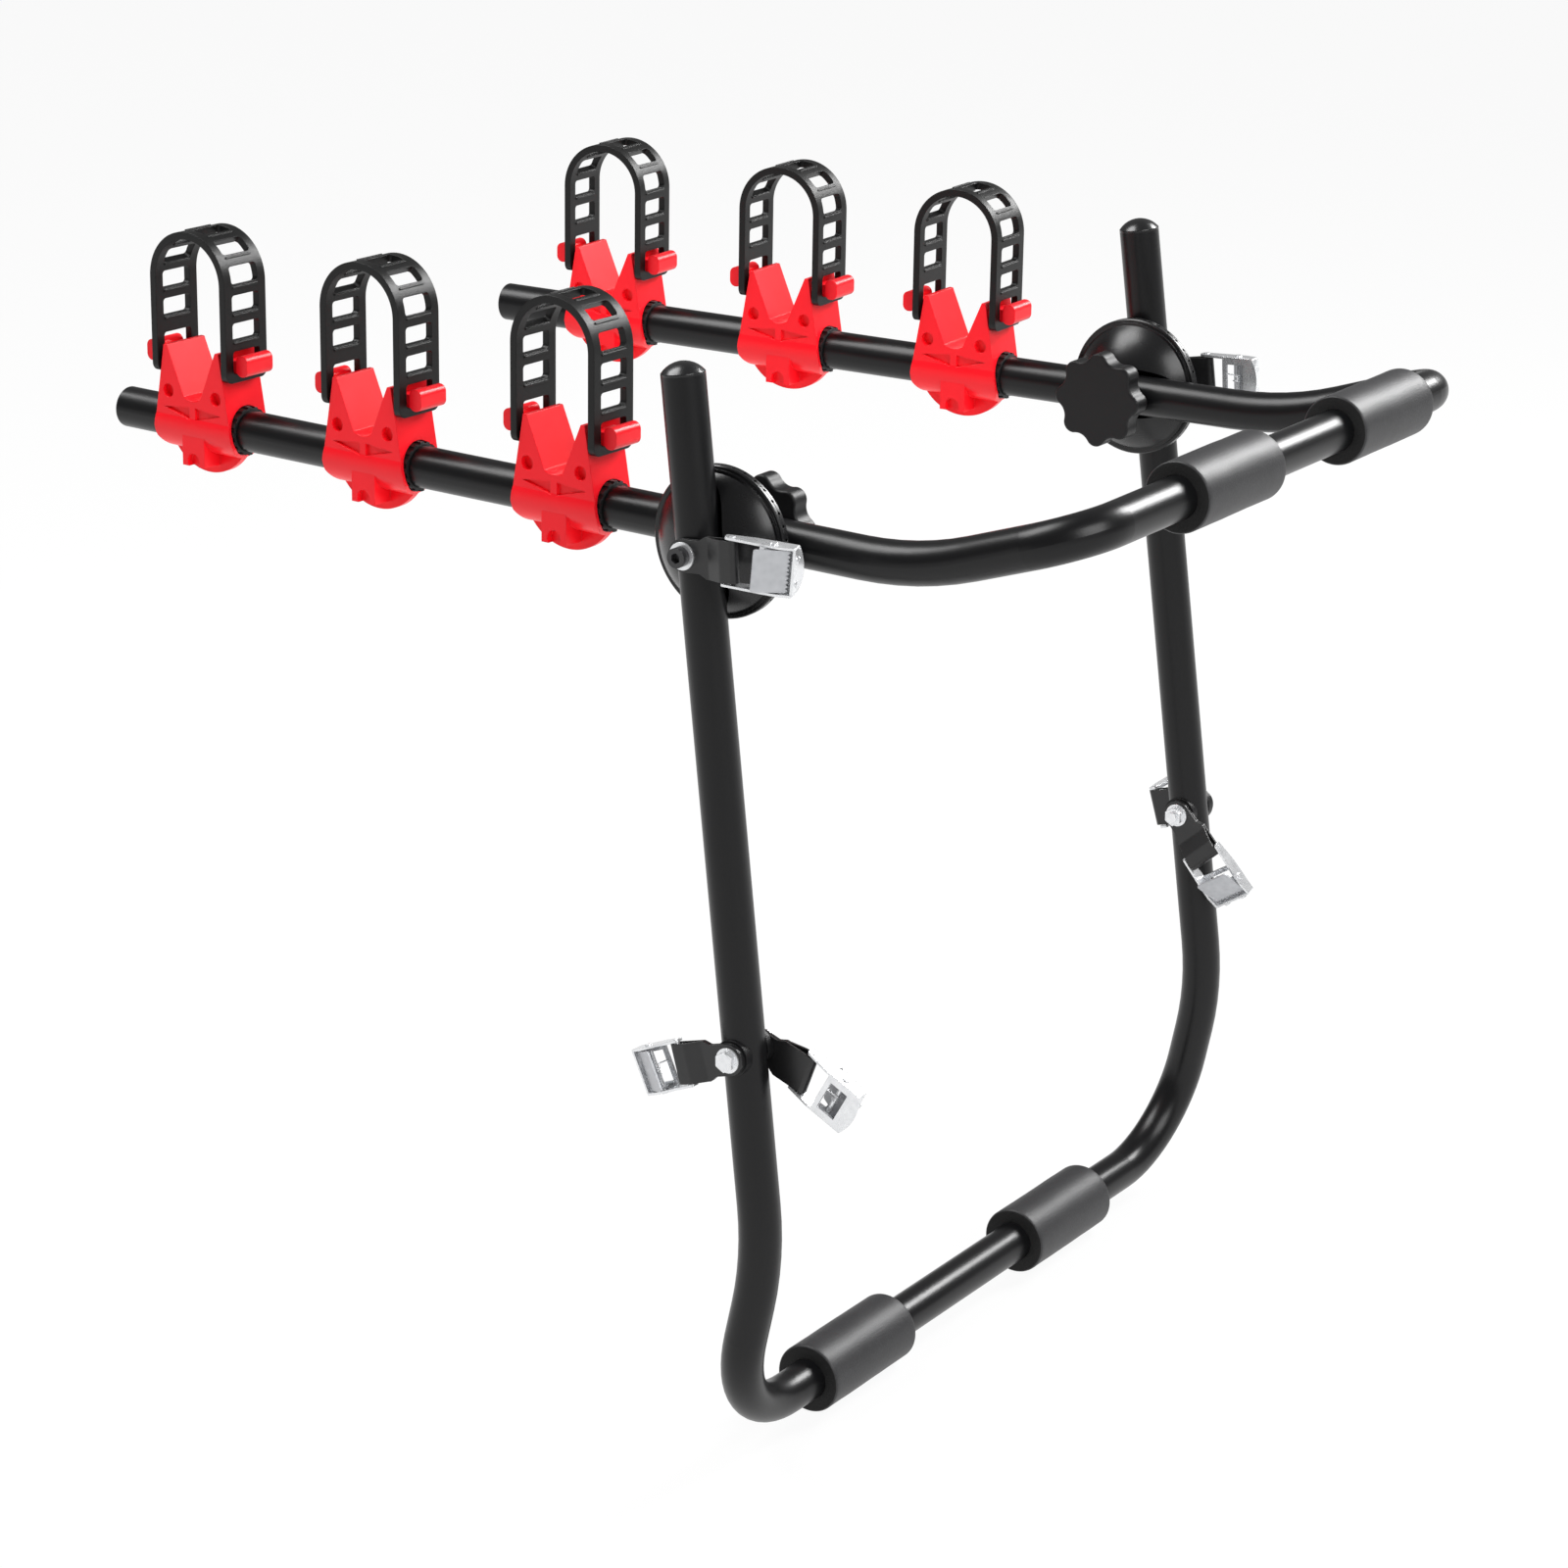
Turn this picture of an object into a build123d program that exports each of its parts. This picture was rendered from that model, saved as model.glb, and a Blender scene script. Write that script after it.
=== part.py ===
from build123d import *
import os
from math import ceil, cos, pi, radians, sin, sqrt, tan

# Trunk mounted bike rack for three bicycles, in millimetres. Two bent tube frames cross at
# a hub on each side. X runs along the cross tubes and the right side is positive, Y points
# at the vehicle and Z is up. The origin is the middle of the line through the two hubs.

# Steel tube of both frames
tube_diameter = 28.0
tube_wall = 1.5

# Arm frame: two arms that carry the bicycles, joined in front by the upper cross tube
arm_half_spread = 238.0
arm_toe_angle = 2.34
arm_rear_length = 526.0
arm_kink_distance = 131.8
arm_kink_angle = 18.96
arm_kink_radius = 247.0
arm_front_length = 122.4
arm_corner_radius = 36.0

# Lower frame: two leaning uprights, joined at the bottom by the lower cross tube. The hub
# span is the distance at each hub from the arm's axis to the upright's
hub_span = 48.8
upright_splay_angle = 1.157
upright_lean_angle = 7.68
upright_top_length = 108.5
upright_kink_distance = 460.65
upright_kink_angle = 19.1
upright_kink_radius = 212.7
upright_foot_length = 135.0
upright_corner_radius = 72.7
lower_bolt_distance = 322.5

# Clearances
seat_clearance = 0.05
running_clearance = 0.06
soft_clearance = 0.3
cut_overrun = 6.0

# End plugs and caps
plug_spigot_length = 12.0
plug_skirt_height = 0.8
plug_dome_height = 4.4
plug_edge_radius = 0.7
cap_skirt_height = 1.5
cap_dome_height = 7.0

# Foam sleeves on the cross tubes
upper_pad_diameter = 46.4
upper_pad_length = 101.0
upper_pad_right_place = 83.0
upper_pad_left_place = -130.0
lower_pad_diameter = 48.0
lower_pad_length = 100.0
lower_pad_right_place = 150.0
lower_pad_left_place = -120.0
pad_edge_radius = 1.2

# Toothed hub shells: domed, with a trench for their tube
hub_diameter = 97.6
hub_gap = 0.3
hub_rim_thickness = 3.2
hub_rim_chamfer = 0.8
hub_step_diameter = 93.0
hub_step_height = 5.2
hub_dome_diameter = 89.0
hub_dome_height = 27.0
hub_trench_radius = 18.5
hub_tooth_count = 36
hub_tooth_width = 3.2
hub_tooth_depth = 4.5
hub_tooth_height = 0.9

# Hub bolts, clamp knobs and their nuts
bolt_diameter = 8.0
hub_bolt_head_diameter = 12.7
hub_bolt_head_height = 6.0
hub_socket_width = 6.0
hub_socket_depth = 3.6
hub_washer_diameter = 17.6
hub_washer_thickness = 1.5
knob_diameter = 67.0
knob_valley_diameter = 57.0
knob_lobe_radius = 7.5
knob_lobe_count = 8
knob_thickness = 15.0
knob_edge_radius = 1.6
knob_neck_diameter = 21.0
knob_neck_length = 3.2
knob_nut_width = 13.0
knob_nut_height = 6.5
knob_nut_inset = 2.0
knob_bore_floor = 3.4

# Lower bolts, nuts and the saddle washers that fit them to the round tube
lower_head_width = 12.0
lower_head_height = 4.0
lower_flange_diameter = 16.6
lower_flange_thickness = 1.3
lower_head_chamfer = 0.7
lower_nut_height = 5.6
lower_bolt_tail = 2.2
saddle_diameter = 24.0
saddle_face_height = 0.9
saddle_skirt_depth = 5.0

# Bicycle cradles and the toothed bushes that they turn on
cradle_right_places = (-450.4, -297.9, -136.9)
cradle_left_places = (-427.1, -272.5, -124.8)
cradle_half_width = 18.5
cradle_half_base = 35.0
cradle_base_height = -3.0
cradle_horn_height = 54.5
cradle_horn_outer = 25.0
cradle_horn_inner = 22.0
cradle_notch_half_width = 7.5
cradle_notch_side_height = 20.6
cradle_notch_height = 18.4
cradle_barrel_radius = 19.5
cradle_keel_radius = 38.0
cradle_keel_centre_height = 4.3
cradle_keel_half_width = 2.75
cradle_boss_half_length = 10.0
cradle_boss_depth = 27.0
cradle_boss_hole_diameter = 11.0
cradle_boss_hole_depth = 23.5
cradle_pocket_depth = 4.5
cradle_hole_diameter = 9.5
cradle_hole_place = 21.7
cradle_hole_height = 23.0
cradle_wing_inner = 2.6
cradle_wing_outer = 26.0
cradle_wing_top = 14.0
cradle_wing_bottom = 5.4
cradle_wing_tip = 11.5
cradle_wing_depth = 2.2
hook_half_width = 12.6
hook_inner = 36.0
hook_outer = 46.0
hook_bottom = 40.0
hook_top = 54.5
hook_corner_radius = 4.6
hook_neck_height = 8.6
hook_neck_root = 24.0
bush_tip_radius = 16.7
bush_root_radius = 15.6
bush_tooth_count = 16
bush_tooth_width = 3.2
bush_proud = 0.8

# Rubber ladder straps
strap_width = 40.0
strap_thickness = 5.0
strap_half_span = 31.5
strap_bottom = 35.0
strap_spring_height = 100.4
strap_corner_radius = 6.0
strap_window_width = 26.0
strap_window_length = 12.0
strap_window_radius = 2.4
strap_window_pitch = 19.0
strap_first_window = 34.6
strap_last_window = 43.16
strap_front_slot_length = 15.6
strap_back_slot_length = 20.0
strap_slot_sill = 6.0
strap_rib_width = 24.0
strap_rib_length = 1.2
strap_rib_height = 0.7
strap_rib_offset = 7.6

# Folded brackets that hang the cam buckles on the bolts
bracket_ply = 1.5
bracket_eye_radius = 10.4
bracket_eye_gap = 0.6
bracket_half_width = 13.3
bracket_step_start = 12.0
bracket_step_end = 17.0
bracket_length = 41.0
bracket_loop_start = 30.0
bracket_taper_start = 19.0
bracket_bend_radius = 5.0
bracket_step_radius = 2.0
bracket_clearance = 0.1

# Cam buckles: a folded frame with a toothed lever on a sprung pin
bar_diameter = 4.0
bar_clearance = 0.3
bar_proud = 0.5
frame_metal = 1.6
frame_inner_half_width = 14.2
frame_length = 41.0
frame_near_length = 4.2
frame_near_half_depth = 3.2
frame_belly_height = 5.0
frame_belly_half_length = 4.5
frame_end_height = 2.8
frame_end_bulge = 4.0
frame_corner_radius = 2.0
frame_bend_radius = 1.2
base_depth = 6.0
base_taper_end = 14.0
base_start = 16.5
base_window_start = 20.0
base_window_end = 33.5
base_window_half_width = 10.5
dimple_radius = 2.2
dimple_height = 0.5
dimple_place = 7.5
dimple_level = -1.4
cam_pin_place = 26.4
cam_pin_diameter = 3.0
cam_pin_head_diameter = 5.4
cam_pin_head_height = 1.0
lever_rest_angle = 26.0
lever_half_width = 13.5
lever_metal = 1.4
lever_underside = 4.6
lever_thumb_reach = 13.5
lever_tooth_reach = 10.0
lever_tooth_count = 10
lever_tooth_depth = 2.0
lever_ear_half_length = 7.0
lever_ear_radius = 3.6
lever_corner_radius = 1.5
spring_wire = 0.9
spring_radius = 2.2
spring_pitch = 1.4
spring_whole_turns = 3
spring_base_leg = 8.5
spring_base_slope = 11.8
spring_lever_leg = 8.0
spring_lever_slope = 14.0
quarter_turns = 4
gap_samples_per_turn = 48

# Where each buckle hangs: side of the rack, face of the tube, place on the upright, the
# direction of its bracket, and the lean and skew of its frame on the bar
buckles = {
    "upper_right": dict(side=1, face=1, drop=0.0, aim=4.0, lean=-18.0, skew=-9.0),
    "upper_left": dict(side=-1, face=-1, drop=0.0, aim=8.0, lean=-4.0, skew=4.0),
    "lower_right_outer": dict(side=1, face=1, drop=lower_bolt_distance, aim=-164.0,
                              lean=-10.0, skew=9.0),
    "lower_right_inner": dict(side=1, face=-1, drop=lower_bolt_distance, aim=-20.0,
                              lean=3.0, skew=9.0),
    "lower_left_inner": dict(side=-1, face=1, drop=lower_bolt_distance, aim=-48.0,
                             lean=-15.0, skew=-9.0),
    "lower_left_outer": dict(side=-1, face=-1, drop=lower_bolt_distance, aim=-163.0,
                             lean=85.0, skew=-4.0),
}

# Values that follow from the sizes above
upright_half_spread = arm_half_spread + hub_span
tube_radius = tube_diameter / 2
tube_bore_radius = tube_radius - tube_wall
bolt_radius = bolt_diameter / 2
bolt_hole_radius = bolt_radius + running_clearance
toe = radians(arm_toe_angle)
lean = radians(upright_lean_angle)
splay = radians(upright_splay_angle)
bracket_stack = 2 * bracket_ply + bracket_eye_gap
hub_plane = (arm_half_spread + upright_half_spread) / 2
sides = {"right": 1, "left": -1}


def arm_point(side, along):
    """A point of a straight arm's axis, by its distance forward of the hub."""
    return Vector(side * (arm_half_spread + along * tan(toe)), along, 0)


def upright_point(side, below):
    """A point of a straight upright's axis, by its distance below the hub."""
    return Vector(side * (upright_half_spread + below * tan(splay)),
                  below * sin(lean), -below * cos(lean))


def arm_corner(side):
    """Where an arm's axis meets the upper cross tube's axis."""
    rise = radians(arm_kink_angle)
    forward = arm_kink_distance + arm_front_length * cos(rise)
    point = arm_point(side, forward)
    return Vector(point.X, point.Y, arm_front_length * sin(rise))


def upright_corner(side):
    """Where an upright's axis meets the lower cross tube's axis."""
    kink = upright_point(side, upright_kink_distance)
    foot = lean - radians(upright_kink_angle)
    reach = upright_point(side, upright_kink_distance + upright_foot_length)
    return Vector(reach.X, kink.Y + upright_foot_length * sin(foot),
                  kink.Z - upright_foot_length * cos(foot))


def rod(start, end, radius):
    """A round bar between two points."""
    axis = end - start
    return Plane(origin=start, z_dir=axis) * Cylinder(
        radius, axis.length, align=(Align.CENTER, Align.CENTER, Align.MIN))


def cross_rod(centre, side, start, end, radius):
    """A round bar along X beside a point, between two distances outward from the middle."""
    return rod(Vector(side * start, centre.Y, centre.Z),
               Vector(side * end, centre.Y, centre.Z), radius)


def hex_bar(centre, side, start, end, across):
    """A hexagonal bar along X between two distances outward from the middle."""
    base = Plane(origin=Vector(side * start, centre.Y, centre.Z), x_dir=(0, 0, 1),
                 z_dir=(side, 0, 0))
    sketch = base * RegularPolygon(across / 2, 6, major_radius=False)
    return extrude(sketch, amount=end - start)


def bent_tube(points, radii):
    """The steel tube along straight runs with rounded corners, as one hollow solid."""
    path = FilletPolyline(*points, radius=radii)
    ring = Circle(tube_radius) - Circle(tube_bore_radius)
    section = Plane(origin=path @ 0, z_dir=path % 0) * ring
    body = sweep(section, path=path)
    expected = pi * (tube_radius ** 2 - tube_bore_radius ** 2) * path.length
    print("tube volume over section times length", round(body.volume / expected, 4))
    return body


def make_arm_frame():
    points = [arm_point(1, -arm_rear_length), arm_point(1, arm_kink_distance), arm_corner(1),
              arm_corner(-1), arm_point(-1, arm_kink_distance),
              arm_point(-1, -arm_rear_length)]
    radii = [arm_kink_radius, arm_corner_radius, arm_corner_radius, arm_kink_radius]
    body = bent_tube(points, radii)
    for side in sides.values():
        inner = arm_half_spread - tube_radius - cut_overrun
        outer = arm_half_spread + tube_radius + cut_overrun
        body -= cross_rod(Vector(0, 0, 0), side, inner, outer, bolt_hole_radius)
    return body


def make_lower_frame():
    points = [upright_point(1, -upright_top_length), upright_point(1, upright_kink_distance),
              upright_corner(1), upright_corner(-1),
              upright_point(-1, upright_kink_distance), upright_point(-1, -upright_top_length)]
    radii = [upright_kink_radius, upright_corner_radius, upright_corner_radius,
             upright_kink_radius]
    body = bent_tube(points, radii)
    for side in sides.values():
        for below in (0, lower_bolt_distance):
            centre = upright_point(1, below)
            inner = centre.X - tube_radius - cut_overrun
            outer = centre.X + tube_radius + cut_overrun
            body -= cross_rod(centre, side, inner, outer, bolt_hole_radius)
    return body


def domed_plug(end, outward, skirt, height):
    """A plug in a tube's end: a spigot inside, and a skirt and a dome outside."""
    spigot = tube_bore_radius - seat_clearance
    ball = (tube_radius ** 2 + height ** 2) / (2 * height)
    middle = tube_radius / 2
    middle_height = skirt + height - ball + sqrt(ball ** 2 - middle ** 2)
    profile = make_face([
        Polyline((0, -plug_spigot_length), (spigot, -plug_spigot_length), (spigot, 0),
                 (tube_radius, 0), (tube_radius, skirt)),
        ThreePointArc((tube_radius, skirt), (middle, middle_height), (0, skirt + height)),
        Line((0, skirt + height), (0, -plug_spigot_length))])
    solid = revolve(Plane.XZ * profile, axis=Axis.Z)
    rim = [edge for edge in solid.edges().filter_by(GeomType.CIRCLE)
           if spigot < edge.radius < ball and edge.arc_center.Z > skirt / 2]
    solid = fillet(rim, plug_edge_radius)
    return Plane(origin=end, z_dir=outward) * solid


def make_arm_end_plugs():
    plugs = []
    for side in sides.values():
        end = arm_point(side, -arm_rear_length)
        outward = end - arm_point(side, 0)
        plugs.append(domed_plug(end, outward, plug_skirt_height, plug_dome_height))
    return plugs


def make_upright_caps():
    caps = []
    for side in sides.values():
        top = upright_point(side, -upright_top_length)
        outward = top - upright_point(side, 0)
        caps.append(domed_plug(top, outward, cap_skirt_height, cap_dome_height))
    return caps


def make_pad(axis_point, place, length, diameter):
    """A foam sleeve on a cross tube, with softened outer edges."""
    start = Vector(place - length / 2, axis_point.Y, axis_point.Z)
    end = Vector(place + length / 2, axis_point.Y, axis_point.Z)
    body = rod(start, end, diameter / 2)
    body = fillet(body.edges().filter_by(GeomType.CIRCLE), pad_edge_radius)
    return body - rod(start, end, tube_radius + soft_clearance)


def make_hub_shell(side, layer):
    """One half of a hub, on the arm (layer -1) or on the upright (layer 1)."""
    rim = hub_diameter / 2
    step = hub_step_diameter / 2
    dome = hub_dome_diameter / 2
    base = hub_gap / 2
    sag = hub_dome_height - hub_step_height
    ball = (dome ** 2 + sag ** 2) / (2 * sag)
    middle = dome / 2
    middle_height = hub_dome_height - ball + sqrt(ball ** 2 - middle ** 2)
    profile = make_face([
        Polyline((base, 0), (base, rim), (hub_rim_thickness - hub_rim_chamfer, rim),
                 (hub_rim_thickness, rim - hub_rim_chamfer), (hub_rim_thickness, step),
                 (hub_step_height, step), (hub_step_height, dome)),
        ThreePointArc((hub_step_height, dome), (middle_height, middle), (hub_dome_height, 0)),
        Line((hub_dome_height, 0), (base, 0))])
    shell = revolve(Plane.XZ * profile, axis=Axis.X)
    tooth = Box(hub_tooth_height * 2, hub_tooth_depth * 2, hub_tooth_width / 2)
    teeth = [Rot(number * 360 / hub_tooth_count, 0, 0) * Pos(base, rim, 0) * tooth
             for number in range(hub_tooth_count)]
    shell -= teeth
    outward = side * layer
    shell = Pos(side * hub_plane, 0, 0) * Rot(0, 0, 0 if outward > 0 else 180) * shell
    if layer < 0:
        axis_start, axis_end = arm_point(side, -hub_diameter), arm_point(side, hub_diameter)
    else:
        axis_start = upright_point(side, -hub_diameter)
        axis_end = upright_point(side, hub_diameter)
    shift = hub_trench_radius - tube_radius - seat_clearance
    offset = Vector(outward * shift, 0, 0)
    shell -= rod(axis_start + offset, axis_end + offset, hub_trench_radius)
    bore_start = hub_plane - hub_dome_height - cut_overrun
    bore_end = hub_plane + hub_dome_height + cut_overrun
    return shell - cross_rod(Vector(0, 0, 0), side, bore_start, bore_end, bolt_hole_radius)


def hub_faces():
    """Distances outward from the middle: knob face, knob back, neck end and bracket plane."""
    slope_gap = knob_neck_diameter / 2 * tan(toe)
    neck_end = arm_half_spread - tube_radius / cos(toe) - slope_gap - soft_clearance
    back = neck_end - knob_neck_length
    face = back - knob_thickness
    bracket = upright_half_spread + tube_radius + soft_clearance
    return face, back, neck_end, bracket


def knob_outline():
    """The lobed outline of a knob: tip and valley arcs that run into each other."""
    half_pitch = pi / knob_lobe_count
    tip = knob_diameter / 2 - knob_lobe_radius
    valley = knob_valley_diameter / 2
    lean_in = tip * cos(half_pitch)
    scallop = ((tip ** 2 + valley ** 2 - 2 * valley * lean_in - knob_lobe_radius ** 2)
               / (2 * (knob_lobe_radius - valley + lean_in)))
    outer = valley + scallop

    def polar(radius, angle):
        return Vector(radius * cos(angle), radius * sin(angle), 0)

    def meeting(lobe_angle, valley_angle):
        lobe, hollow = polar(tip, lobe_angle), polar(outer, valley_angle)
        return lobe + (hollow - lobe).normalized() * knob_lobe_radius

    arcs = []
    for number in range(knob_lobe_count):
        angle = 2 * number * half_pitch
        before = meeting(angle, angle - half_pitch)
        after = meeting(angle, angle + half_pitch)
        following = meeting(angle + 2 * half_pitch, angle + half_pitch)
        arcs.append(ThreePointArc(before, polar(knob_diameter / 2, angle), after))
        arcs.append(ThreePointArc(after, polar(valley, angle + half_pitch), following))
    return make_face(arcs)


def knob_nut_span():
    face, back, neck_end, bracket = hub_faces()
    end = neck_end - knob_nut_inset
    return end - knob_nut_height, end


def make_knob(side):
    face, back, neck_end, bracket = hub_faces()
    base = Plane(origin=(side * back, 0, 0), x_dir=(0, 1, 0), z_dir=(-side, 0, 0))
    body = extrude(base * knob_outline(), amount=knob_thickness)
    flat_edges = body.faces().sort_by(Axis.X)
    body = fillet(flat_edges[0].edges() + flat_edges[-1].edges(), knob_edge_radius)
    centre = Vector(0, 0, 0)
    body += cross_rod(centre, side, back, neck_end, knob_neck_diameter / 2)
    body -= cross_rod(centre, side, face + knob_bore_floor, neck_end, bolt_hole_radius)
    nut_start, nut_end = knob_nut_span()
    return body - hex_bar(centre, side, nut_start, nut_end, knob_nut_width)


def make_knob_nut(side):
    start, end = knob_nut_span()
    centre = Vector(0, 0, 0)
    nut = hex_bar(centre, side, start, end, knob_nut_width)
    return nut - cross_rod(centre, side, start, end, bolt_hole_radius)


def hub_washer_span():
    start = hub_faces()[3] + bracket_stack + bracket_clearance
    return start, start + hub_washer_thickness


def make_hub_bolt(side):
    face = hub_faces()[0]
    head_start = hub_washer_span()[1]
    head_end = head_start + hub_bolt_head_height
    centre = Vector(0, 0, 0)
    head = cross_rod(centre, side, head_start, head_end, hub_bolt_head_diameter / 2)
    socket = hex_bar(centre, side, head_end - hub_socket_depth, head_end, hub_socket_width)
    shank_start = face + knob_bore_floor + seat_clearance
    return head - socket + cross_rod(centre, side, shank_start, head_start, bolt_radius)


def make_hub_washer(side):
    start, end = hub_washer_span()
    centre = Vector(0, 0, 0)
    ring = cross_rod(centre, side, start, end, hub_washer_diameter / 2)
    return ring - cross_rod(centre, side, start, end, bolt_radius)


def saddle_face():
    """Distance from the tube's axis to the flat face of a saddle washer."""
    return tube_radius + saddle_face_height


def make_saddle_washer(side, face):
    """A round washer that is flat outside and fits the tube inside."""
    centre = upright_point(1, lower_bolt_distance)
    start = centre.X + face * (tube_radius - saddle_skirt_depth)
    end = centre.X + face * saddle_face()
    low, high = min(start, end), max(start, end)
    body = cross_rod(centre, side, low, high, saddle_diameter / 2)
    reach = saddle_diameter
    body -= rod(upright_point(side, lower_bolt_distance - reach),
                upright_point(side, lower_bolt_distance + reach),
                tube_radius + seat_clearance)
    return body - cross_rod(centre, side, low, high, bolt_radius)


def lower_stack():
    """Distance from the tube's axis to the outside of a bracket's eye."""
    return saddle_face() + 2 * bracket_clearance + bracket_stack


def make_lower_bolt(side):
    centre = upright_point(1, lower_bolt_distance)
    flange_start = centre.X + lower_stack()
    head_start = flange_start + lower_flange_thickness
    head_end = head_start + lower_head_height
    flange = cross_rod(centre, side, flange_start, head_start, lower_flange_diameter / 2)
    head = hex_bar(centre, side, head_start, head_end, lower_head_width)
    crown = cross_rod(centre, side, head_start, head_end, lower_head_width / 2
                      + lower_head_chamfer)
    tail = centre.X - lower_stack() - lower_flange_thickness - lower_nut_height
    shank = cross_rod(centre, side, tail - lower_bolt_tail, flange_start, bolt_radius)
    return flange + (head & crown) + shank


def make_lower_nut(side):
    centre = upright_point(1, lower_bolt_distance)
    flange_start = centre.X - lower_stack()
    nut_start = flange_start - lower_flange_thickness
    nut_end = nut_start - lower_nut_height
    flange = cross_rod(centre, side, nut_start, flange_start, lower_flange_diameter / 2)
    nut = hex_bar(centre, side, nut_end, nut_start, lower_head_width)
    crown = cross_rod(centre, side, nut_end, nut_start, lower_head_width / 2
                      + lower_head_chamfer)
    return flange + (nut & crown) - cross_rod(centre, side, nut_end, flange_start, bolt_radius)


def arm_plane(side, along):
    """The frame of a cradle: Y along the arm, Z up."""
    forward = arm_point(side, along + arm_rear_length) - arm_point(side, along)
    across = forward.cross(Vector(0, 0, 1))
    return Plane(origin=arm_point(side, along), x_dir=across, z_dir=(0, 0, 1))


def cradle_outline():
    """The cradle's side view in Y and Z."""
    keel_side = cradle_keel_centre_height - sqrt(cradle_keel_radius ** 2
                                                 - cradle_half_base ** 2)
    keel_bottom = cradle_keel_centre_height - cradle_keel_radius
    base, top = cradle_base_height, cradle_horn_height
    right = Polyline((cradle_half_base, keel_side), (cradle_half_base, base),
                     (cradle_horn_outer, top), (cradle_horn_inner, top),
                     (cradle_notch_half_width, cradle_notch_side_height))
    notch = ThreePointArc((cradle_notch_half_width, cradle_notch_side_height),
                          (0, cradle_notch_height),
                          (-cradle_notch_half_width, cradle_notch_side_height))
    left = Polyline((-cradle_notch_half_width, cradle_notch_side_height),
                    (-cradle_horn_inner, top), (-cradle_horn_outer, top),
                    (-cradle_half_base, base), (-cradle_half_base, keel_side))
    keel = ThreePointArc((-cradle_half_base, keel_side), (0, keel_bottom),
                         (cradle_half_base, keel_side))
    return make_face([right, notch, left, keel])


def across_block(face, start, end):
    """A Y and Z outline made solid between two places along X."""
    return extrude(Plane.YZ.offset(start) * face, amount=end - start)


def make_cradle():
    half = cradle_half_width
    outline = across_block(cradle_outline(), -cradle_barrel_radius, cradle_barrel_radius)
    saddle = Pos(0, 0, cradle_horn_height / 2) * Box(2 * half, 2 * cradle_half_base,
                                                     cradle_horn_height)
    barrel = rod(Vector(0, -cradle_half_base, 0), Vector(0, cradle_half_base, 0),
                 cradle_barrel_radius)
    keel = Pos(0, 0, -cradle_keel_radius / 2) * Box(
        2 * cradle_keel_half_width, 2 * cradle_half_base, cradle_keel_radius)
    boss = Pos(0, 0, -cradle_boss_depth / 2) * Box(
        2 * half, 2 * cradle_boss_half_length, cradle_boss_depth)
    body = outline & (saddle + barrel + keel + boss)
    neck_bottom = strap_bottom + strap_slot_sill + soft_clearance
    for end in (-1, 1):
        lobe = RectangleRounded(hook_outer - hook_inner, hook_top - hook_bottom,
                                hook_corner_radius)
        lobe = Pos(end * (hook_inner + hook_outer) / 2, (hook_bottom + hook_top) / 2) * lobe
        neck_end = (hook_inner + hook_outer) / 2
        neck = Pos(end * (hook_neck_root + neck_end) / 2,
                   neck_bottom + hook_neck_height / 2) * Rectangle(
                       neck_end - hook_neck_root, hook_neck_height)
        neck_half_width = strap_window_width / 2 - strap_window_radius
        body += across_block(lobe, -hook_half_width, hook_half_width)
        body += across_block(neck, -neck_half_width, neck_half_width)
    body -= rod(Vector(0, -2 * cradle_half_base, 0), Vector(0, 2 * cradle_half_base, 0),
                bush_tip_radius + soft_clearance)
    wing = make_face(Polyline((cradle_wing_inner, cradle_wing_bottom),
                              (cradle_wing_inner, cradle_wing_top),
                              (cradle_wing_outer, cradle_wing_tip), close=True))
    other_wing = make_face(Polyline((-cradle_wing_inner, cradle_wing_bottom),
                                    (-cradle_wing_inner, cradle_wing_top),
                                    (-cradle_wing_outer, cradle_wing_tip), close=True))
    for face in (-1, 1):
        for end in (-1, 1):
            hole = Pos(end * cradle_hole_place, cradle_hole_height) * Circle(
                cradle_hole_diameter / 2)
            body -= across_block(hole, face * (half - cradle_pocket_depth),
                                 face * (half + cut_overrun))
        boss_hole = Pos(0, -cradle_boss_hole_depth) * Circle(cradle_boss_hole_diameter / 2)
        body -= across_block(boss_hole, face * (half - cradle_pocket_depth),
                             face * (half + cut_overrun))
        for shape in (wing, other_wing):
            body -= across_block(shape, face * (half - cradle_wing_depth),
                                 face * (half + cut_overrun))
    return body


def make_bush():
    """A toothed sleeve that is fixed on the arm inside a cradle."""
    tooth_length = bush_tip_radius - tube_radius
    ring = Circle(bush_root_radius)
    for number in range(bush_tooth_count):
        turn = Rot(0, 0, number * 360 / bush_tooth_count)
        ring += turn * Pos(bush_tip_radius - tooth_length / 2, 0) * Rectangle(
            tooth_length, bush_tooth_width)
    ring = ring & Circle(bush_tip_radius)
    ring -= Circle(tube_radius)
    half = cradle_half_base + bush_proud
    return extrude(Plane.XZ.offset(-half) * ring, amount=2 * half)


def strap_location(place, width_shift=0.0):
    """A frame on the strap's middle surface, by the distance along it from the front end."""
    leg = strap_spring_height - strap_bottom
    arch = pi * strap_half_span
    if place <= leg:
        angle = 0.0
        point = Vector(width_shift, strap_half_span, strap_bottom + place)
    elif place < leg + arch:
        angle = (place - leg) / strap_half_span
        point = Vector(width_shift, strap_half_span * cos(angle),
                       strap_spring_height + strap_half_span * sin(angle))
    else:
        angle = pi
        point = Vector(width_shift, -strap_half_span,
                       strap_spring_height - (place - leg - arch))
    return Plane(origin=point, x_dir=(1, 0, 0), z_dir=(0, cos(angle), sin(angle)))


def strap_window(place, length):
    hole = strap_location(place) * RectangleRounded(strap_window_width, length,
                                                    strap_window_radius)
    return extrude(hole, amount=strap_thickness, both=True)


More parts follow.
